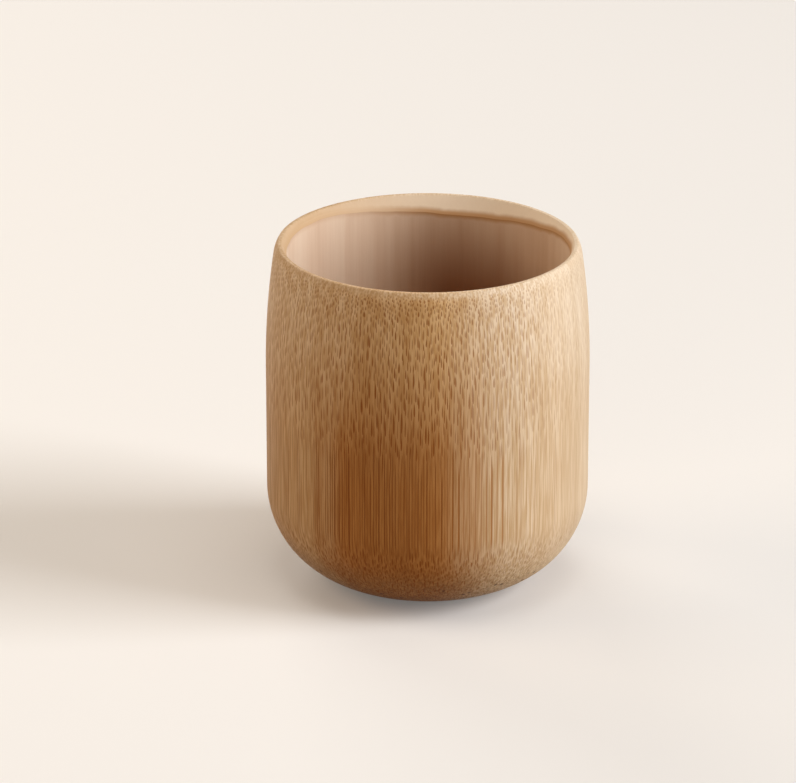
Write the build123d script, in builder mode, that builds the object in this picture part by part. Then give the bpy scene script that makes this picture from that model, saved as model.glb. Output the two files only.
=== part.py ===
from build123d import *
import os
from math import acos, degrees, radians, tan

# A small drinking cup turned from one length of natural bamboo culm, in millimetres.
# The origin is the centre of the foot, on the table. +Z points up through the mouth, and
# the front of the cup faces -Y. The lathe shapes the outside, the lip and the underside.
# The hollow, its pith skin and the diaphragm that closes it are as they grew.

# Turned outside
height = 65.0
belly_diameter = 60.0
foot_diameter = 28.0
base_corner_height = 17.8
straight_belly_top = 41.0

# Lip: a narrow crest, eased on the outside and countersunk on the inside
crest_width = 0.7
crest_round = 0.2
lip_ease_height = 2.1
lip_ease_width = 0.8
mouth_bevel_angle = 27.0
least_mouth_bevel = 0.45

# Turned recess under the foot
foot_ring_width = 4.0
recess_depth = 0.8

# Grown hollow: round, but flatter on the side where the culm bore its branch
wall_thickness = 3.9
branch_side_bearing = 74.0
branch_side_swell = 0.77
branch_side_flattening = 1.2
branch_side_blend_inset = 8.4
floor_thickness = 8.0
hollow_corner_radius = 9.0

# Pith skin that lines the hollow
lining_thickness = 0.35
lining_ledge = 0.45

# Diaphragm: the plate of node tissue that closes the culm
diaphragm_dish = 0.8
diaphragm_seam_inset = 1.0

belly_radius = belly_diameter / 2
foot_radius = foot_diameter / 2
recess_radius = foot_radius - foot_ring_width
hollow_radius = belly_radius - wall_thickness
diaphragm_radius = hollow_radius - branch_side_swell - hollow_corner_radius - lining_ledge
diaphragm_lower_radius = recess_radius - diaphragm_seam_inset
crest_inner_radius = hollow_radius + lining_thickness + least_mouth_bevel
lip_radius = crest_inner_radius + crest_width
mouth_bevel_depth = (crest_inner_radius - diaphragm_radius) / tan(radians(mouth_bevel_angle))

# The flatter arc of the branch side has its centre behind the cup's axis. A blend on each
# side runs from it to the round wall, and these are the bearings where the arcs meet.
branch_side_radius = hollow_radius + branch_side_flattening
branch_side_setback = branch_side_flattening + branch_side_swell
flat_blend_inset = branch_side_blend_inset + branch_side_flattening
blend_centre = (flat_blend_inset**2 - branch_side_blend_inset**2 - branch_side_setback**2) / (
    2 * branch_side_setback
)
round_bearing = degrees(acos(blend_centre / branch_side_blend_inset))
flat_bearing = degrees(acos((blend_centre + branch_side_setback) / flat_blend_inset))

# The grown pieces are drawn on planes that face the branch side.
up = Vector(0, 0, 1)
towards_branch = Vector(1, 0, 0).rotate(Axis.Z, branch_side_bearing)
culm_section = Plane((0, 0, 0), x_dir=towards_branch, z_dir=towards_branch.cross(up))

os.makedirs("parts", exist_ok=True)

# The turned blank: the whole outside of the cup, from the recess under the foot to the
# countersunk mouth. The countersink runs on into the space of the grown hollow.
with BuildPart() as turned_blank:
    with BuildSketch(Plane.XZ) as turned_section:
        with BuildLine() as turned_outline:
            recess = TangentArc((0, recess_depth), (recess_radius, 0), tangent=(1, 0))
            foot_ring = Line(recess @ 1, (foot_radius, 0))
            belly = Line((belly_radius, base_corner_height), (belly_radius, straight_belly_top))
            base_corner = TangentArc(belly @ 0, foot_ring @ 1, tangent=(0, -1))
            upper_wall = TangentArc(
                belly @ 1,
                (lip_radius + lip_ease_width, height - lip_ease_height),
                tangent=belly % 1,
            )
            lip_ease = TangentArc(upper_wall @ 1, (lip_radius, height), tangent=upper_wall % 1)
            crest = Line(lip_ease @ 1, (crest_inner_radius, height))
            mouth_bevel = Line(crest @ 1, (diaphragm_radius, height - mouth_bevel_depth))
            Polyline(mouth_bevel @ 1, (0, height - mouth_bevel_depth), recess @ 0)
        make_face()
    revolve(axis=Axis.Z)
    crest_face = turned_blank.faces().filter_by(Axis.Z).sort_by(Axis.Z)[-1]
    fillet(crest_face.edges(), crest_round)


def grown_hollow(skin):
    """The hollow of the culm, with the skin on its wall and floor taken out as well."""
    hollow_floor = Plane((0, 0, floor_thickness - skin), x_dir=towards_branch, z_dir=up)
    with BuildPart() as hollow:
        with BuildSketch(hollow_floor):
            with BuildLine():
                round_wall = CenterArc(
                    (0, 0), hollow_radius + skin, round_bearing, 360 - 2 * round_bearing
                )
                flat_wall = CenterArc(
                    (-branch_side_setback, 0),
                    branch_side_radius + skin,
                    -flat_bearing,
                    2 * flat_bearing,
                )
                TangentArc(flat_wall @ 1, round_wall @ 0, tangent=flat_wall % 1)
                TangentArc(round_wall @ 1, flat_wall @ 0, tangent=round_wall % 1)
            make_face()
        extrude(amount=height - floor_thickness + skin)
        floor_edges = hollow.edges().group_by(Axis.Z)[0]
        fillet(floor_edges, hollow_corner_radius + skin)
    return hollow.part


bare_hollow = grown_hollow(0)
lined_hollow = grown_hollow(lining_thickness)

# The plug of node tissue under the hollow narrows downwards to its seam under the foot.
with BuildPart() as node_plug:
    with BuildSketch(culm_section):
        with BuildLine():
            Polyline(
                (0, 0),
                (diaphragm_lower_radius, 0),
                (diaphragm_radius, floor_thickness),
                (0, floor_thickness),
                close=True,
            )
        make_face()
    revolve(axis=Axis.Z)

# The culm wall is what the lathe leaves of the culm round the hollow and the node plug.
with BuildPart() as culm_wall:
    add(turned_blank.part)
    add(lined_hollow, mode=Mode.SUBTRACT)
    add(node_plug.part, mode=Mode.SUBTRACT)

# The pith skin lies between the wall and the hollow. It runs in round the corner of the
# floor to the diaphragm, and the bevel of the mouth cuts it through, where its edge shows.
with BuildPart() as pith_lining:
    add(lined_hollow)
    add(bare_hollow, mode=Mode.SUBTRACT)
    add(node_plug.part, mode=Mode.SUBTRACT)
    add(turned_blank.part, mode=Mode.INTERSECT)

# The diaphragm is the node plug, dished above as it grew and cut below by the recess.
with BuildPart() as node_diaphragm:
    add(node_plug.part)
    add(turned_blank.part, mode=Mode.INTERSECT)
    with BuildSketch(culm_section):
        with BuildLine():
            dish = TangentArc(
                (0, floor_thickness - diaphragm_dish),
                (diaphragm_radius, floor_thickness),
                tangent=(1, 0),
            )
            Polyline(dish @ 1, (0, floor_thickness), dish @ 0)
        make_face()
    revolve(axis=Axis.Z, mode=Mode.SUBTRACT)

culm_wall.part.label = "culm_wall"
pith_lining.part.label = "pith_lining"
node_diaphragm.part.label = "node_diaphragm"

export_step(culm_wall.part, "parts/culm_wall.step")
export_step(pith_lining.part, "parts/pith_lining.step")
export_step(node_diaphragm.part, "parts/node_diaphragm.step")
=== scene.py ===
from math import acos, asin, atan2, cos, hypot, pi, radians, sin, sqrt, tan

import bmesh
import bpy
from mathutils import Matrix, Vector


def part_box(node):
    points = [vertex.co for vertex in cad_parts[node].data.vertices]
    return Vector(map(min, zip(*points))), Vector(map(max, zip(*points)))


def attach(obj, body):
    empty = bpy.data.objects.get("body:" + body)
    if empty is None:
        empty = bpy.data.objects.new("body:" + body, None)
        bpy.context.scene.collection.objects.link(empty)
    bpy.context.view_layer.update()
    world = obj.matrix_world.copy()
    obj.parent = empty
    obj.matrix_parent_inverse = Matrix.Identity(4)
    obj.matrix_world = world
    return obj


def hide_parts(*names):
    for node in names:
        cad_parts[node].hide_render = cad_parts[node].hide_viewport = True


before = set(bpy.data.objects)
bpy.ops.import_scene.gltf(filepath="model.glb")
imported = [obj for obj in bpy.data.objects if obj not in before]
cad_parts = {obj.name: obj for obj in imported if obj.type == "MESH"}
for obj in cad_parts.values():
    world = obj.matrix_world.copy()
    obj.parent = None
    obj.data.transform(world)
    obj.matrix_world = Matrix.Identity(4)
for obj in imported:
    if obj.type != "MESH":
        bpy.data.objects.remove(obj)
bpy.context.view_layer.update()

# The culm wall: the woody wall of one length of bamboo culm, full of brown fibre bundles.
# It is turned on a lathe outside, at the lip and under the foot, sanded and clear-sealed.
# The hollow inside is as it grew, flatter on the side where the culm bore its branch.
mm = 0.001
wall_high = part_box("culm_wall")[1]
lining_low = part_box("pith_lining")[0]
plate_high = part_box("node_diaphragm")[1]
height = wall_high.z
belly_radius = wall_high.x
lined_radius = -lining_low.x
floor_height = plate_high.z
plate_radius = plate_high.x

foot_radius = 14.0 * mm
foot_ring_width = 4.0 * mm
recess_depth = 0.8 * mm
seam_inset = 1.0 * mm
base_corner_height = 17.8 * mm
straight_belly_top = 41.0 * mm
lip_ease_height = 2.1 * mm
lip_ease_width = 0.8 * mm
crest_width = 0.7 * mm
crest_round = 0.2 * mm
least_mouth_bevel = 0.45 * mm
mouth_bevel_angle = radians(27.0)
hollow_corner_radius = 9.0 * mm
lining_thickness = 0.35 * mm
turns = 360

recess_radius = foot_radius - foot_ring_width
rim_foot_radius = recess_radius - seam_inset
crest_inner_radius = lined_radius + least_mouth_bevel
lip_radius = crest_inner_radius + crest_width
hollow_radius = lined_radius - lining_thickness
corner_height = floor_height + hollow_corner_radius
corner_start = hollow_radius - hollow_corner_radius
ledge = floor_height - lining_thickness


def draw_line(outline, tip, end, steps=1):
    """Draws the outline on from its tip, straight to a point (radius, height)."""
    stride = Vector((end[0] - tip.co.x, 0, end[1] - tip.co.z)) / steps
    swept = bmesh.ops.spin(outline, geom=[tip], axis=(0, 0, 1), angle=0, dvec=stride, steps=steps)
    return swept["geom_last"][0]


def draw_arc(outline, tip, end, heading, steps):
    """Draws the outline on from its tip in an arc that starts along a heading, in radians."""
    start = Vector((tip.co.x, tip.co.z))
    chord = Vector(end) - start
    turn = 2 * (atan2(chord.y, chord.x) - heading)
    turn = (turn + pi) % (2 * pi) - pi
    radius = chord.length / (2 * sin(turn / 2))
    centre = start + radius * Vector((-sin(heading), cos(heading)))
    swept = bmesh.ops.spin(
        outline, geom=[tip], cent=(centre.x, 0, centre.y), axis=(0, -1, 0), angle=turn, steps=steps
    )
    return swept["geom_last"][0], heading + turn


def turn_outline(outline):
    """Spins the outline round the cup's axis into a closed shell."""
    bmesh.ops.spin(
        outline,
        geom=outline.verts[:] + outline.edges[:],
        cent=(0, 0, 0),
        axis=(0, 0, 1),
        angle=2 * pi,
        steps=turns,
        use_merge=True,
    )
    bmesh.ops.remove_doubles(outline, verts=outline.verts[:], dist=0.002 * mm)
    bmesh.ops.recalc_face_normals(outline, faces=outline.faces[:])


branch_bearing = radians(74.0)
branch_swell = 0.77 * mm
branch_flattening = 1.2 * mm
branch_blend = 0.1 * mm
ripple_inset = 0.06 * mm


def hollow_shift(bearing):
    """How far the grown hollow stands in from a round one at a bearing."""
    off = bearing - branch_bearing
    setback = branch_flattening + branch_swell
    flat_radius = lined_radius + branch_flattening
    flat = sqrt(flat_radius**2 - (setback * sin(off)) ** 2) - setback * cos(off)
    inside = flat - lined_radius
    shift = (inside - hypot(inside, branch_blend)) / 2
    ripple = 0.05 * sin(3 * bearing + 0.6) + 0.035 * sin(7 * bearing + 2.1)
    ripple += 0.02 * sin(16 * bearing + 0.9) + 0.012 * sin(29 * bearing)
    return shift + ripple * mm - ripple_inset


def bevel_height(radius):
    """Height of the mouth's bevel at a radius."""
    return height - (crest_inner_radius - radius) / tan(mouth_bevel_angle)


def grow_hollow(shell, belongs):
    """Moves the points of the hollow from a round wall to the wall as it grew.

    Each point keeps its distance from the bare hollow, for the finishes to read.
    """
    gap = shell.verts.layers.float.new("bore_gap")
    for point in shell.verts:
        radius = hypot(point.co.x, point.co.y)
        bearing = atan2(point.co.y, point.co.x)
        shift = hollow_shift(bearing)
        if belongs(radius, point.co.z) and radius > plate_radius:
            share = min(
                1,
                (radius - plate_radius) / (corner_start - plate_radius),
                (crest_inner_radius - radius) / (crest_inner_radius - lined_radius),
            )
            grown = radius + share * shift
            if point.co.z > corner_height:
                top = bevel_height(radius)
                rise = bevel_height(grown) - top
                point.co.z += rise * (point.co.z - corner_height) / (top - corner_height)
            point.co.x *= grown / radius
            point.co.y *= grown / radius
            radius = grown
        point[gap] = radius - hollow_radius - shift


recess_sphere = (recess_radius**2 + recess_depth**2) / (2 * recess_depth)


def recess_height(radius):
    """Height of the turned recess under the foot at a radius."""
    return recess_depth - recess_sphere + sqrt(recess_sphere**2 - radius**2)


def rim_radius(level):
    """Radius of the seam between the wall and the diaphragm at a level."""
    return rim_foot_radius + (plate_radius - rim_foot_radius) * level / floor_height


seam_radius = rim_radius(recess_height(rim_foot_radius))
seam_slope = asin(seam_radius / recess_sphere)
base_overhang = belly_radius - foot_radius
base_corner_radius = (base_corner_height**2 + base_overhang**2) / (2 * base_overhang)
foot_heading = acos(base_corner_height / base_corner_radius)
ease_start = (lip_radius + lip_ease_width, height - lip_ease_height)

outline = bmesh.new()
start = outline.verts.new((seam_radius, 0, recess_height(seam_radius)))
recess_edge, _ = draw_arc(outline, start, (recess_radius, 0), -seam_slope, steps=3)
tip = draw_line(outline, recess_edge, (foot_radius, 0), steps=3)
tip, heading = draw_arc(outline, tip, (belly_radius, base_corner_height), foot_heading, steps=44)
tip = draw_line(outline, tip, (belly_radius, straight_belly_top), steps=14)
tip, heading = draw_arc(outline, tip, ease_start, heading, steps=20)
crest_outer, _ = draw_arc(outline, tip, (lip_radius, height), heading, steps=8)
crest_inner = draw_line(outline, crest_outer, (crest_inner_radius, height), steps=2)
tip = draw_line(outline, crest_inner, (lined_radius, bevel_height(lined_radius)), steps=5)
tip = draw_line(outline, tip, (lined_radius, corner_height), steps=24)
tip, _ = draw_arc(outline, tip, (corner_start, ledge), -pi / 2, steps=14)
tip = draw_line(outline, tip, (rim_radius(ledge), ledge), steps=2)
draw_line(outline, tip, (start.co.x, start.co.z), steps=4)
bmesh.ops.bevel(
    outline,
    geom=[crest_outer, crest_inner, recess_edge],
    offset=crest_round,
    affect="VERTICES",
    segments=4,
    profile=0.5,
    material=-1,
)
turn_outline(outline)
hollow_floor = ledge - 0.01 * mm
grow_hollow(outline, lambda radius, level: radius < crest_inner_radius and level > hollow_floor)


class Value:
    """One value in a finish. Arithmetic on it adds Math nodes."""

    def __init__(self, finish, socket):
        self.finish = finish
        self.socket = socket

    def math(self, operation, *values):
        return self.finish.node("ShaderNodeMath", {"operation": operation}, dict(enumerate(values)))

    def __add__(self, other):
        return self.math("ADD", self, other)

    def __sub__(self, other):
        return self.math("SUBTRACT", self, other)

    def __rsub__(self, other):
        return self.math("SUBTRACT", other, self)

    def __mul__(self, other):
        return self.math("MULTIPLY", self, other)

    def __truediv__(self, other):
        return self.math("DIVIDE", self, other)

    __radd__ = __add__
    __rmul__ = __mul__

    def only(self, operation, *others):
        """A Math node of one of the named operations, such as FLOOR or ABSOLUTE."""
        return self.math(operation, self, *others)

    def step(self, low, high):
        """0 below low and 1 above high, with a smooth step between."""
        settings = {"interpolation_type": "SMOOTHSTEP"}
        sockets = {"Value": self, "From Min": low, "From Max": high}
        return self.finish.node("ShaderNodeMapRange", settings, sockets)


class Finish:
    """A procedural material, with places in millimetres and one method that adds its nodes."""

    def __init__(self, name):
        self.material = bpy.data.materials.new(name)
        self.material.use_nodes = True
        self.tree = self.material.node_tree
        self.shader = self.tree.nodes["Principled BSDF"]
        self.place = self.node("ShaderNodeTexCoord", {}, {}, "Object")
        spread = {"operation": "SCALE"}
        self.place = self.node("ShaderNodeVectorMath", spread, {0: self.place, "Scale": 1 / mm})
        self.x, self.y, self.z = (
            self.node("ShaderNodeSeparateXYZ", {}, {0: self.place}, axis) for axis in "XYZ"
        )
        self.radius = (self.x * self.x + self.y * self.y).only("SQRT")
        self.bearing = self.y.only("ARCTAN2", self.x)

    def node(self, kind, settings, sockets, output=0):
        node = self.tree.nodes.new(kind)
        for name, setting in settings.items():
            if name == "stops":
                self.set_stops(node, setting)
            else:
                setattr(node, name, setting)
        for name, value in sockets.items():
            if isinstance(value, Value):
                self.tree.links.new(value.socket, node.inputs[name])
            else:
                node.inputs[name].default_value = value
        return Value(self, node.outputs[output])

    def set_stops(self, node, stops):
        ramp = node.color_ramp
        while len(ramp.elements) < len(stops):
            ramp.elements.new(1.0)
        for element, (position, colour) in zip(ramp.elements, stops):
            element.position = position
            element.color = (*colour, 1.0)

    def ramp(self, factor, stops):
        return self.node("ShaderNodeValToRGB", {"stops": stops}, {"Fac": factor})

    def vector(self, x, y, z):
        return self.node("ShaderNodeCombineXYZ", {}, {0: x, 1: y, 2: z})

    def along_culm(self, across, along):
        """Places for a pattern that the culm draws out along its length."""
        return self.node(
            "ShaderNodeVectorMath",
            {"operation": "MULTIPLY"},
            {0: self.place, 1: (across, across, along)},
        )

    def noise(self, place, scale=1.0, detail=2.0, distortion=0.0):
        sockets = {"Vector": place, "Scale": scale, "Detail": detail, "Distortion": distortion}
        return self.node("ShaderNodeTexNoise", {"noise_dimensions": "3D"}, sockets)

    def spots(self, scale):
        """Distance from the nearest of the points that are scattered through the piece."""
        return self.node("ShaderNodeTexVoronoi", {}, {"Vector": self.place, "Scale": scale})

    def stored(self, name):
        return self.node("ShaderNodeAttribute", {"attribute_name": name}, {}, "Fac")

    def chance(self, column, row, draw):
        """A number from 0 to 1 for one cell of a lattice, in a draw of its own."""
        sockets = {"Vector": self.vector(column, row, draw)}
        return self.node("ShaderNodeTexWhiteNoise", {"noise_dimensions": "3D"}, sockets)

    def mix(self, factor, first, second):
        colour = [(*c, 1.0) if isinstance(c, tuple) else c for c in (first, second)]
        sockets = {0: factor, 6: colour[0], 7: colour[1]}
        return self.node("ShaderNodeMix", {"data_type": "RGBA"}, sockets, 2)

    def tint(self, colour, factor, amount):
        """Multiplies a colour by another, as far as the factor says."""
        settings = {"data_type": "RGBA", "blend_type": "MULTIPLY"}
        return self.node("ShaderNodeMix", settings, {0: factor, 6: colour, 7: (*amount, 1.0)}, 2)

    def bump(self, height, depth):
        sockets = {"Strength": 1.0, "Distance": depth, "Height": height}
        return self.node("ShaderNodeBump", {}, sockets)

    def feed(self, socket, value):
        if isinstance(value, Value):
            self.tree.links.new(value.socket, self.shader.inputs[socket])
        else:
            self.shader.inputs[socket].default_value = value


cut_mouth_colour = (0.82, 0.68, 0.525)
# Painted shade: the mouth is made golden on the left, where the key light falls on it.
mouth_painted_shade_colour = (0.6, 0.42, 0.255)
pith_stain_colour = (0.42, 0.2, 0.058)
pith_stain_start = 0.12 * mm
pith_stain_end = 0.62 * mm
least_pith_stain = 0.24
added_pith_stain = 0.61


def mouth_colour(finish):
    """The bare colour of the cut mouth, paler towards the right, with painted shade that makes it
    golden on the left.
    """
    return finish.mix(finish.x.step(-20.0, 5.0), mouth_painted_shade_colour, cut_mouth_colour)


def pith_stain(finish):
    """How far the caramel of the pith soaks out of the hollow, which is least on the left."""
    soak = finish.noise(finish.along_culm(0.5, 0.1))
    reach = finish.stored("bore_gap").step(pith_stain_start, pith_stain_end * (0.7 + soak * 0.6))
    return (1 - reach) * (least_pith_stain + finish.x.step(-15.0, 3.0) * added_pith_stain)


# The turned face cuts across the fibre bundles above and below the belly, which shows as
# rows of flecks. Their rows follow the depth of the cut, lean, and crowd towards the lip.
fleck_columns = 184
fleck_row_pitch = 0.5
fleck_lean = 0.13
fleck_stagger = 0.618
fleck_jitter = 0.4
fleck_sway = 0.56
fleck_half_length = 0.41
fleck_half_width = 0.125
fleck_edge = 0.09
base_fleck_depth = 2.4
base_fleck_spread = 0.6
base_fleck_slant = 1.3
base_heights = (6.5, 12.5)
lip_fleck_start = 58.5
lip_fleck_crowding = 0.036
line_top = 33.5
stagger_draw, size_draw, shade_draw, sway_draw, slant_draw = 2.0, 3.0, 5.0, 7.0, 9.0

culm = Finish("turned_culm")
drift = culm.noise(culm.along_culm(0.35, 0.012), detail=1.0) - 0.5
row_wave = (culm.noise(culm.along_culm(0.16, 0.1)) - 0.5) * 1.6
near_lip = (culm.z - lip_fleck_start).only("MAXIMUM", 0.0)
leaned = (culm.z - line_top).only("MAXIMUM", 0.0) * fleck_lean
leaned = leaned + near_lip * near_lip * lip_fleck_crowding
depth = belly_radius / mm - culm.radius
depth = depth - (depth - base_fleck_depth).only("MAXIMUM", 0.0) * base_fleck_spread
base_zone = 1 - culm.z.step(*base_heights)


def lay_flecks(lane):
    """Flecks where the turned face cuts fibre bundles, in one of two sets of columns."""
    column_place = culm.bearing * (fleck_columns / (2 * pi)) + fleck_columns / 2 + lane / 2 + drift
    column = column_place.only("FLOOR").only("FLOORED_MODULO", fleck_columns)
    across = column_place.only("FRACT") - 0.5
    jitter = culm.chance(column, lane, stagger_draw) * fleck_jitter
    stagger = column * fleck_stagger + jitter + lane / 2
    row_place = (depth + leaned) / fleck_row_pitch + stagger + row_wave
    row = row_place.only("FLOOR")
    along = row_place.only("FRACT") - 0.5
    size = culm.chance(column, row, size_draw + lane)
    shade = culm.chance(column, row, shade_draw + lane)
    sway = (culm.chance(column, row, sway_draw + lane) - 0.5) * fleck_sway
    slant = (culm.chance(column, row, slant_draw + lane) - 0.5) * base_zone * base_fleck_slant
    taper = along / (fleck_half_length + size * 0.11)
    point_end = (1 - taper).only("MAXIMUM", 0.0)
    round_end = (1 + taper).only("MAXIMUM", 0.0).only("SQRT")
    width = point_end * round_end * (fleck_half_width + size * 0.055)
    fleck = (width - (across - sway - along * slant).only("ABSOLUTE")).step(0.0, fleck_edge)
    return fleck * (0.5 + shade * 0.5)


fleck = lay_flecks(0).only("MAXIMUM", lay_flecks(1))

# Along the belly the face runs along the bundles, which shows as fine lines. They are
# bolder right of the middle. Turned is -1 at the far left of the cup and 1 at the far right.
line_columns = 360
line_foot_heights = (13.5, 17.5)
line_top_scatter = 6.0
line_edge = 0.18
line_end_draw, line_sway_draw, line_width_draw, line_shade_draw = 1.0, 6.0, 7.0, 8.0

bands = culm.noise(culm.along_culm(0.3, 0.006)) - 0.5
turned = culm.x / culm.radius + bands * 0.22
bold_lines = turned.step(-0.1, 0.2) * (1 - turned.step(0.42, 0.85))
line_place = culm.bearing * (line_columns / (2 * pi)) + line_columns / 2 + drift * 0.9
column = line_place.only("FLOOR").only("FLOORED_MODULO", line_columns)
across = line_place.only("FRACT") - 0.5
line_sway = (culm.chance(column, 0.0, line_sway_draw) - 0.5) * 0.3
line_shade = culm.chance(column, 0.0, line_shade_draw)
every_other = 1 - column.only("FLOORED_MODULO", 2.0)
bold_shade = every_other * (0.5 + line_shade * 0.5)
plain_shade = 0.25 + line_shade * 0.75
line_width = 0.15 + culm.chance(column, 0.0, line_width_draw) * 0.2
line_width = line_width + bold_lines * bold_shade * 0.12
line = (line_width - (across - line_sway).only("ABSOLUTE")).step(0.0, line_edge)
line = line * (plain_shade + (bold_shade - plain_shade) * bold_lines)
line_end = line_top + (culm.chance(column, 0.0, line_end_draw) - 0.5) * line_top_scatter
in_lines = culm.z.step(*line_foot_heights) * (1 - (culm.z - line_end).step(-2.0, 2.0))
bundle = fleck + (line - fleck) * in_lines

# The ground between the bundles is pale on the right and golden on the left, as painted shade,
# with a deep amber patch of painted shade in the front of the belly, and takes the colour of the
# bare cut at the lip.
upper_wall_heights = (33.0, 59.0)
painted_shade_heights = (25.0, 62.0)
crest_heights = (63.3, 64.8)
cut_mouth_heights = (60.5, 62.0)
pale_belly_colour = (0.79, 0.625, 0.435)
pale_upper_colour = (0.86, 0.715, 0.54)
painted_light_base_colour = (0.92, 0.76, 0.53)
left_painted_shade_tint = (0.89, 0.77, 0.62)
painted_shade_belly_colour = (0.53, 0.24, 0.068)
painted_shade_upper_colour = (0.81, 0.54, 0.27)
painted_shade_base_colour = (0.56, 0.3, 0.11)
base_tint = (0.94, 0.95, 0.95)
far_right_painted_shade_tint = (0.92, 0.925, 0.93)

rise = culm.z.step(*upper_wall_heights)
# Painted light: on the lit right side the flecks, streaks, base figure and relief fade, and the
# base is left paler.
right_painted_light = turned.step(0.5, 0.9)
# Painted shade: the left side, away from the key light, gets a deeper, golden ground and stronger
# flecks.
left_painted_shade = 1 - turned.step(-0.4, 0.6)
# Painted shade: a deep amber patch on the front of the belly, where the cup stands in shade.
deep = turned.step(-0.76 - rise * 0.2, -0.48 + rise * 0.4) * (1 - turned.step(-0.02, 0.52))
deep = deep * (0 - culm.y / culm.radius).step(0.0, 0.4)
pale_side = culm.mix(rise, pale_belly_colour, pale_upper_colour)
pale_side = culm.tint(pale_side, left_painted_shade * (1 - rise * 0.7), left_painted_shade_tint)
# Painted light: the base is paler on its right, where the key light falls.
pale_side = culm.mix(base_zone * turned.step(0.1, 0.6), pale_side, painted_light_base_colour)
painted_front_shade_colour = culm.mix(culm.z.step(*painted_shade_heights), painted_shade_belly_colour, painted_shade_upper_colour)
painted_front_shade_colour = culm.mix(base_zone, painted_front_shade_colour, painted_shade_base_colour)
ground = culm.mix(deep, pale_side, painted_front_shade_colour)
# The base is a little darker, except on the lit right side, where this is left off as painted
# light.
ground = culm.tint(ground, base_zone * (1 - right_painted_light), base_tint)
# Painted shade: the far right edge above the base is darkened a little.
ground = culm.tint(ground, turned.step(0.7, 1.0) * (1 - base_zone), far_right_painted_shade_tint)
crest = culm.z.step(*crest_heights)
ground = culm.mix(crest * 0.6, ground, mouth_colour(culm))
cut_mouth = (crest_inner_radius / mm + 0.25 - culm.radius).step(0.0, 0.5)
cut_mouth = cut_mouth * culm.z.step(*cut_mouth_heights)
ground = culm.mix(cut_mouth, ground, mouth_colour(culm))

# Clouds, bands and fine streaks vary the ground, and the base has a wavy figure with pores.
cloud_tint = (0.84, 0.76, 0.64)
band_tint = (0.86, 0.8, 0.7)
streak_tint = (0.74, 0.62, 0.46)
figure_tint = (0.5, 0.36, 0.22)

cloud = culm.noise(culm.along_culm(0.07, 0.05), detail=3.0)
ground = culm.tint(ground, cloud.step(0.3, 0.75) * 0.4, cloud_tint)
ground = culm.tint(ground, bands.step(-0.15, 0.2) * (1 - cut_mouth) * 0.5, band_tint)
fibre = culm.noise(culm.along_culm(2.6, 0.12), detail=3.0)
streak = fibre.step(0.36, 0.64) * (1 - cut_mouth * 0.95) * (1 - right_painted_light * 0.5)
ground = culm.tint(ground, streak * 0.8, streak_tint)
swirl = culm.noise(culm.along_culm(0.42, 0.5), distortion=1.0)
ring = (swirl * 4.0).only("PINGPONG", 0.5)
mottle = (1 - ring.step(0.05, 0.4)) * base_zone
pores = (1 - culm.spots(1.0).step(0.16, 0.42)) * base_zone
figure = (mottle * 0.4 + pores * 0.35) * (1 - right_painted_light * 0.5)
ground = culm.tint(ground, figure, figure_tint)

# The bundles are laid over the ground, then the stain at the mouth and dark specks by the foot.
fleck_colour = (0.28, 0.082, 0.009)
line_colour = (0.21, 0.058, 0.006)
bold_line_colour = (0.33, 0.125, 0.028)
pale_line_colour = (0.5, 0.27, 0.11)
speck_colour = (0.1, 0.038, 0.01)
speck_heights = (6.2, 7.2)

# Flecks and lines are stronger in the painted shade on the left and front, and fainter in the
# painted light on the right.
strength = 0.46 + left_painted_shade * 0.14 + bold_lines * in_lines * 0.5 - right_painted_light * 0.24
strength = strength + deep * (0.4 - rise * 0.16)
strength = strength * (1 - cut_mouth) * (1 - crest * 0.7)
bold_colour = culm.mix(turned.step(0.2, 0.6), bold_line_colour, pale_line_colour)
fibre_colour = culm.mix(bold_lines, line_colour, bold_colour)
fibre_colour = culm.mix(in_lines, fleck_colour, fibre_colour)
surface = culm.mix(bundle * strength, ground, fibre_colour)
surface = culm.mix(pith_stain(culm) * cut_mouth, surface, pith_stain_colour)
speck = (1 - culm.spots(0.45).step(0.12, 0.23)) * (1 - culm.z.step(*speck_heights))
surface = culm.mix(speck * 0.85, surface, speck_colour)
relief = (fibre * 0.4 - bundle) * (1 - cut_mouth) * (1 - right_painted_light * 0.5)
culm.feed("Base Color", surface)
culm.feed("Specular IOR Level", 0.15)
culm.feed("Roughness", 0.48 + bundle * 0.12)
culm.feed("Normal", culm.bump(relief, 0.02 * mm))

sharp_edge_angle = radians(24)


def add_piece(name, shell, finish):
    """Makes the shell a smooth piece that rides on the cup."""
    mesh = bpy.data.meshes.new(name)
    shell.to_mesh(mesh)
    shell.free()
    mesh.shade_smooth()
    mesh.set_sharp_from_angle(angle=sharp_edge_angle)
    mesh.materials.append(finish.material)
    piece = bpy.data.objects.new(name, mesh)
    bpy.context.scene.collection.objects.link(piece)
    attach(piece, "root")
    return piece


wall = add_piece("turned_culm_wall", outline, culm)
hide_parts("culm_wall")

# The pith skin: the thin soft skin that lines the hollow, papery and faintly ribbed.
# It grew on the wall and is left natural; the bevel of the mouth cuts it to a caramel edge.
outline = bmesh.new()
start = outline.verts.new((hollow_radius, 0, bevel_height(hollow_radius)))
tip = draw_line(outline, start, (hollow_radius, corner_height), steps=24)
tip, _ = draw_arc(outline, tip, (corner_start, floor_height), -pi / 2, steps=14)
tip = draw_line(outline, tip, (plate_radius, floor_height), steps=2)
tip = draw_line(outline, tip, (rim_radius(ledge), ledge))
tip = draw_line(outline, tip, (corner_start, ledge), steps=2)
tip, _ = draw_arc(outline, tip, (lined_radius, corner_height), 0.0, steps=14)
tip = draw_line(outline, tip, (lined_radius, bevel_height(lined_radius)), steps=24)
draw_line(outline, tip, (start.co.x, start.co.z), steps=3)
turn_outline(outline)
grow_hollow(outline, lambda radius, level: True)

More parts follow.
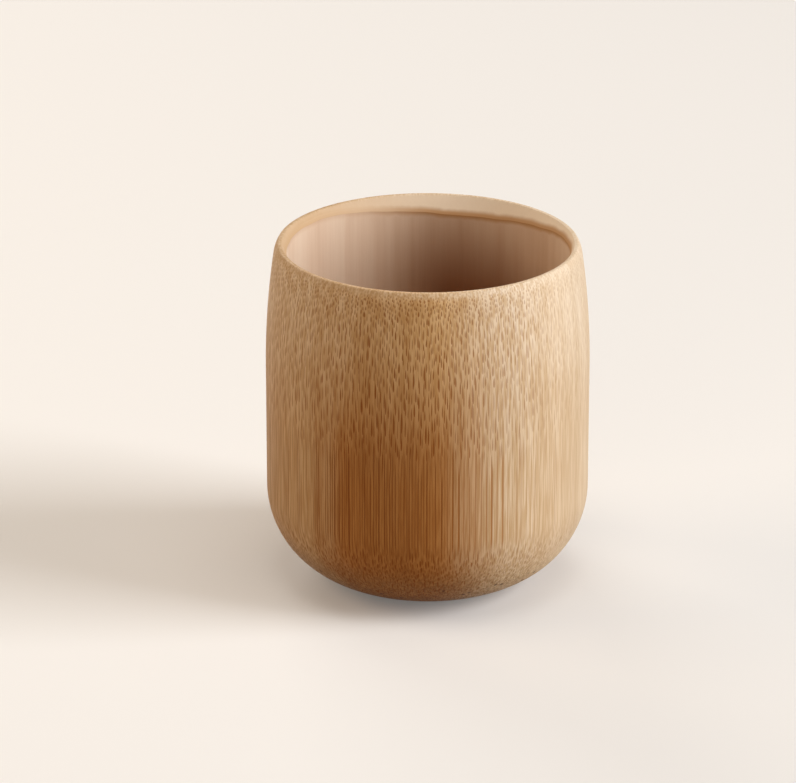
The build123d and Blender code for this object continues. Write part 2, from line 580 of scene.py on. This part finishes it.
dark_band_colour = (0.6, 0.415, 0.285)
middle_band_colour = (0.69, 0.51, 0.37)
light_band_colour = (0.76, 0.605, 0.46)
painted_shade_tint = (0.33, 0.155, 0.06)
bevel_face_depths = (0.02, 0.08)

skin = Finish("pith_skin")
bands = skin.noise(skin.along_culm(0.14, 0.012))
streaks = skin.noise(skin.along_culm(0.6, 0.02))
fibre = skin.noise(skin.along_culm(3.5, 0.12))
ground = skin.ramp(
    bands * 0.6 + streaks * 0.3 + fibre * 0.1,
    [(0.3, dark_band_colour), (0.5, middle_band_colour), (0.7, light_band_colour)],
)
# Painted shade: the hollow gets darker deeper down, with a painted shadow on its back-right wall.
deep_down = 1 - skin.z.step(42.0, 72.0)
back_wall_painted_shadow = skin.x.step(-13.0, 6.0) * (1 - skin.x.step(12.0, 25.0) * 0.75)
back_wall_painted_shadow = back_wall_painted_shadow * skin.y.step(-4.0, 12.0) * skin.z.step(18.0, 38.0)
ground = skin.tint(ground, deep_down * (0.06 + back_wall_painted_shadow * 0.89), painted_shade_tint)
below_mouth = bevel_height(0) / mm + skin.radius / tan(mouth_bevel_angle) - skin.z
bevel_face = 1 - below_mouth.step(*bevel_face_depths)
ground = skin.mix(bevel_face, ground, mouth_colour(skin))
edge_reach = 0.5 + streaks * 1.3
edge_stain = 1 - (below_mouth / edge_reach).step(0.0, 1.0)
ground = skin.mix(edge_stain * pith_stain(skin), ground, pith_stain_colour)
skin.feed("Base Color", ground)
skin.feed("Specular IOR Level", 0.2)
skin.feed("Roughness", 0.6)
skin.feed("Normal", skin.bump(fibre * 0.2 + streaks, 0.04 * mm))

lining = add_piece("pith_skin_lining", outline, skin)
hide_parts("pith_lining")

# The diaphragm: the plate of node tissue that closes the culm and makes the cup's floor.
# Its upper face is dished and uneven as it grew; the lathe cuts the recess of the foot in it.
dish_depth = 0.8 * mm
floor_sag = 0.16 * mm
floor_unevenness = 0.1 * mm

outline = bmesh.new()
start = outline.verts.new((0, 0, floor_height - dish_depth))
tip, _ = draw_arc(outline, start, (plate_radius, floor_height), 0.0, steps=30)
tip = draw_line(outline, tip, (seam_radius, recess_height(seam_radius)), steps=4)
draw_arc(outline, tip, (0, recess_depth), pi - seam_slope, steps=16)
turn_outline(outline)
upper_face = floor_height - dish_depth - 0.01 * mm
for point in outline.verts:
    radius = hypot(point.co.x, point.co.y)
    bearing = atan2(point.co.y, point.co.x)
    if point.co.z > upper_face:
        share = radius / plate_radius
        swell = sin(2 * bearing + 0.7) * share + 0.6 * sin(5 * bearing + 9 * share) * share
        point.co.z -= (floor_sag + floor_unevenness * swell) * (1 - share**6)

dark_tissue_colour = (0.4, 0.245, 0.145)
middle_tissue_colour = (0.54, 0.365, 0.235)
light_tissue_colour = (0.66, 0.485, 0.335)
rim_tint = (0.72, 0.6, 0.52)
dark_fibre_tint = (0.5, 0.36, 0.24)
rim_width = 5.0
above_recess_heights = (4.0, 5.0)

plate = Finish("node_tissue")
swirl = plate.noise(plate.place, scale=0.3, detail=4.0, distortion=1.2)
grain = plate.noise(plate.place, scale=2.2, detail=3.0)
ripples = (plate.radius * 2.2 + swirl * 7).only("SINE")
ground = plate.ramp(
    swirl * 0.6 + grain * 0.3 + ripples * 0.05 + 0.05,
    [(0.34, dark_tissue_colour), (0.5, middle_tissue_colour), (0.66, light_tissue_colour)],
)
rim = plate.radius.step(plate_radius / mm - rim_width, plate_radius / mm)
rim = rim * plate.z.step(*above_recess_heights)
ground = plate.tint(ground, rim * 0.6, rim_tint)
dark_fibre = 1 - plate.spots(0.8).step(0.06, 0.22)
ground = plate.tint(ground, dark_fibre * 0.5, dark_fibre_tint)
plate.feed("Base Color", ground)
plate.feed("Specular IOR Level", 0.2)
plate.feed("Roughness", 0.6 + grain * 0.1)
plate.feed("Normal", plate.bump(swirl * 1.4 + grain * 0.4 + ripples * 0.08, 0.2 * mm))

floor_plate = add_piece("node_diaphragm_plate", outline, plate)
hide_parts("node_diaphragm")

# The stage: a plain pale table top, wide enough to fill every view.
# It shows pale to the camera, and throws less light back at the cup than it shows.
table_reach = 3.0
pale_colour = (0.78, 0.765, 0.745)
bounce_colour = (0.26, 0.16, 0.085)
no_glow = (0.0, 0.0, 0.0)
glow_strength = 0.14

table = bmesh.new()
bmesh.ops.create_grid(table, x_segments=1, y_segments=1, size=table_reach)
table_mesh = bpy.data.meshes.new("table_top")
table.to_mesh(table_mesh)
table.free()
table_top = bpy.data.objects.new("table_top", table_mesh)
bpy.context.scene.collection.objects.link(table_top)

pale = Finish("pale_table")
seen = pale.node("ShaderNodeLightPath", {}, {}, "Is Camera Ray")
seen = seen.only("MAXIMUM", pale.node("ShaderNodeLightPath", {}, {}, "Is Glossy Ray"))
seen = seen.only("MAXIMUM", pale.node("ShaderNodeLightPath", {}, {}, "Is Transmission Ray"))
pale.feed("Base Color", pale.mix(seen, bounce_colour, pale_colour))
pale.feed("Roughness", 0.9)
pale.feed("Specular IOR Level", 0.0)
pale.feed("Emission Color", pale.mix(seen, no_glow, pale_colour))
pale.feed("Emission Strength", glow_strength)
table_mesh.materials.append(pale.material)

# Soft studio light: a broad key from the right, weak fills from the left, front and back, and
# a small lamp over the mouth, in dim warm surroundings. Every lamp faces the middle of the cup.
surround_colour = (1.0, 0.75, 0.52, 1.0)
surround_strength = 0.12
cup_middle = Vector((0, 0, height / 2))

world = bpy.data.worlds.new("studio")
bpy.context.scene.world = world
world.use_nodes = True
surround = world.node_tree.nodes["Background"]
surround.inputs["Color"].default_value = surround_colour
surround.inputs["Strength"].default_value = surround_strength


def add_softbox(name, bearing, rise, distance, size, power, colour):
    """An area lamp that faces the cup, at a bearing to the right of the camera's side."""
    lamp = bpy.data.lights.new(name, "AREA")
    lamp.shape = "RECTANGLE"
    lamp.size, lamp.size_y = size
    lamp.energy = power
    lamp.color = colour
    turn, lift = radians(bearing), radians(rise)
    way = Vector((cos(lift) * sin(turn), -cos(lift) * cos(turn), sin(lift)))
    holder = bpy.data.objects.new(name, lamp)
    holder.location = cup_middle + distance * way
    holder.rotation_euler = (-way).to_track_quat("-Z", "Y").to_euler()
    bpy.context.scene.collection.objects.link(holder)


add_softbox(
    "key_right", bearing=79, rise=24, distance=2.0, size=(1.0, 1.5),
    power=48.0, colour=(0.95, 0.97, 1.0),
)
add_softbox(
    "fill_left", bearing=-95, rise=30, distance=0.7, size=(0.4, 0.4),
    power=1.6, colour=(1.0, 0.8, 0.58),
)
add_softbox(
    "fill_front", bearing=-15, rise=12, distance=1.0, size=(0.6, 0.3),
    power=1.6, colour=(1.0, 0.96, 0.9),
)
add_softbox(
    "fill_back", bearing=-155, rise=30, distance=1.0, size=(0.6, 0.4),
    power=3.0, colour=(1.0, 0.95, 0.88),
)
add_softbox(
    "top", bearing=20, rise=80, distance=0.7, size=(0.4, 0.4),
    power=1.15, colour=(1.0, 0.96, 0.92),
)

# The camera: a long lens at the photograph's viewing angle, looking down on the cup from the
# front. It aims a little to the left of the cup's axis, as the photograph is framed.
camera_distance = 0.9
camera_tilt = radians(21.3)
camera_aim = Vector((-5.5 * mm, 0.0, 35.48 * mm))
camera_lens = 219.1
camera_sensor_width = 36.0

camera_data = bpy.data.cameras.new("photo_camera")
camera_data.sensor_width = camera_sensor_width
camera_data.lens = camera_lens
camera = bpy.data.objects.new("photo_camera", camera_data)
camera.location = camera_aim + camera_distance * Vector((0, -cos(camera_tilt), sin(camera_tilt)))
camera.rotation_euler = (pi / 2 - camera_tilt, 0, 0)
bpy.context.scene.collection.objects.link(camera)
bpy.context.scene.camera = camera
bpy.context.scene.view_settings.view_transform = "Standard"
